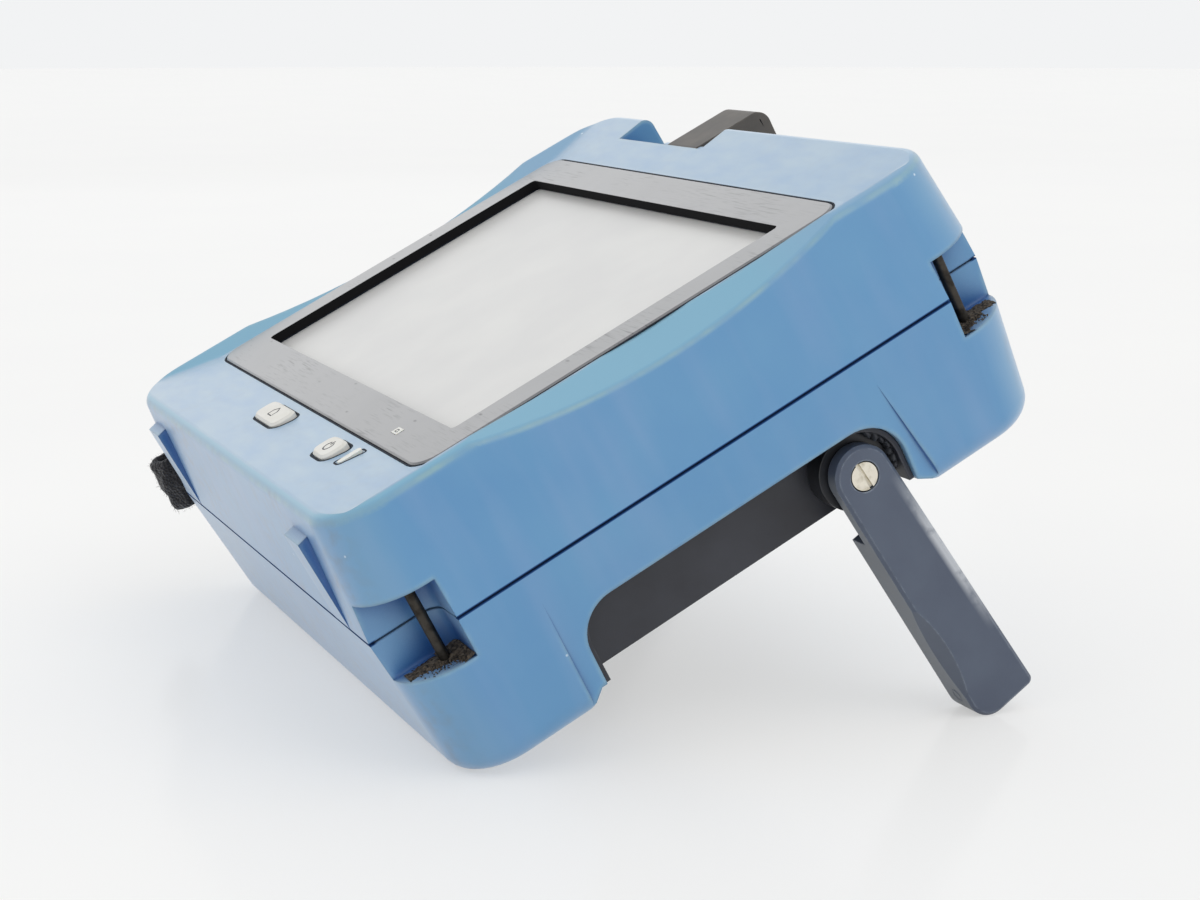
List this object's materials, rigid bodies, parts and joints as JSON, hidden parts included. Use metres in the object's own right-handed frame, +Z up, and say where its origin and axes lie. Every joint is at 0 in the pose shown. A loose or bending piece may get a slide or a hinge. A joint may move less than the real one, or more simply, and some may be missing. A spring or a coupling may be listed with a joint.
{
  "type": "optical time domain reflectometer",
  "caption": "Handheld fibre test instrument with a touchscreen, soft blue case, folding stand legs, covered optical port, strap posts and hand strap.",
  "frame": {"origin": "on the floor, under the middle of the whole object's box, as it stands on its front edge and its two open legs", "axes": "+Z up, +X to the right of the user facing the screen, +Y away from the user towards the connector end"},
  "size_m": [0.2106, 0.1714, 0.1357],
  "materials": {
    "case_blue": "soft-touch moulded elastomer over ABS, sky blue",
    "seal_rubber": "matt black silicone",
    "bezel_plastic": "fine textured dark grey ABS",
    "white_plastic": "ivory moulded plastic",
    "touch_film": "anti-glare touch film",
    "module_metal": "plain sheet",
    "board": "solder mask green",
    "screw_steel": "zinc plated steel",
    "post_steel": "blackened steel pin",
    "black_plastic": "fine textured black ABS",
    "leg_slate": "textured slate grey nylon",
    "pivot_nickel": "nickel plated, turned",
    "port_nickel": "nickel plated brass",
    "flap_plastic": "dusty dark grey moulded plastic",
    "strap_webbing": "black looped webbing"
  },
  "bodies": {
    "case": {"front_shell": "case_blue", "rear_shell": "case_blue", "case_seal": "seal_rubber", "display_bezel": "bezel_plastic", "battery_indicator": "white_plastic", "display_gasket": "seal_rubber", "touch_panel": "touch_film", "lcd_module": "module_metal", "main_board": "board", "board_screws": "screw_steel", "optical_module": "module_metal", "battery_pack": "black_plastic", "back_chassis": "black_plastic", "battery_door": "black_plastic", "battery_door_screws": "screw_steel", "case_screws": "screw_steel", "status_light": "white_plastic", "keypad_board": "board", "pivot_screw_right": "pivot_nickel", "pivot_screw_left": "pivot_nickel", "hinge_hub_right": "black_plastic", "hinge_hub_left": "black_plastic", "hinge_washer_right": "black_plastic", "hinge_washer_left": "black_plastic", "optical_port": "port_nickel", "visual_fault_port": "port_nickel", "flap_pin": "screw_steel", "connector_panel": "black_plastic", "usb_port": "port_nickel", "micro_usb_port": "port_nickel", "dc_inlet": "black_plastic", "hand_strap": "strap_webbing", "strap_post_front_right": "post_steel", "strap_post_front_left": "post_steel", "strap_post_rear_right": "post_steel", "strap_post_rear_left": "post_steel"},
    "leg_right": {"leg_right": "leg_slate"},
    "leg_left": {"leg_left": "leg_slate"},
    "port_flap": {"port_flap": "flap_plastic"},
    "home_button": {"home_button": "white_plastic"},
    "power_button": {"power_button": "white_plastic"}
  },
  "joints": [
    {"name": "leg_right_fold", "type": "hinge", "parent": "case", "child": "leg_right", "pos_m": [0.09771, 0.03844, 0.05999], "axis": [-1, 0, 0], "range_deg": [0, 98]},
    {"name": "leg_left_fold", "type": "hinge", "parent": "case", "child": "leg_left", "pos_m": [-0.0871, 0.03844, 0.05999], "axis": [-1, 0, 0], "range_deg": [0, 98]},
    {"name": "port_flap_open", "type": "hinge", "parent": "case", "child": "port_flap", "pos_m": [-0.02269, 0.05201, 0.12465], "axis": [1, 0, 0], "range_deg": [0, 90]},
    {"name": "home_button_press", "type": "slide", "parent": "case", "child": "home_button", "axis": [0, 0.4637, -0.886], "range_m": [0, 0.0008], "stiffness_N_per_m": 400, "springref_m": -0.0005},
    {"name": "power_button_press", "type": "slide", "parent": "case", "child": "power_button", "axis": [0, 0.4637, -0.886], "range_m": [0, 0.0008], "stiffness_N_per_m": 400, "springref_m": -0.0005}
  ]
}
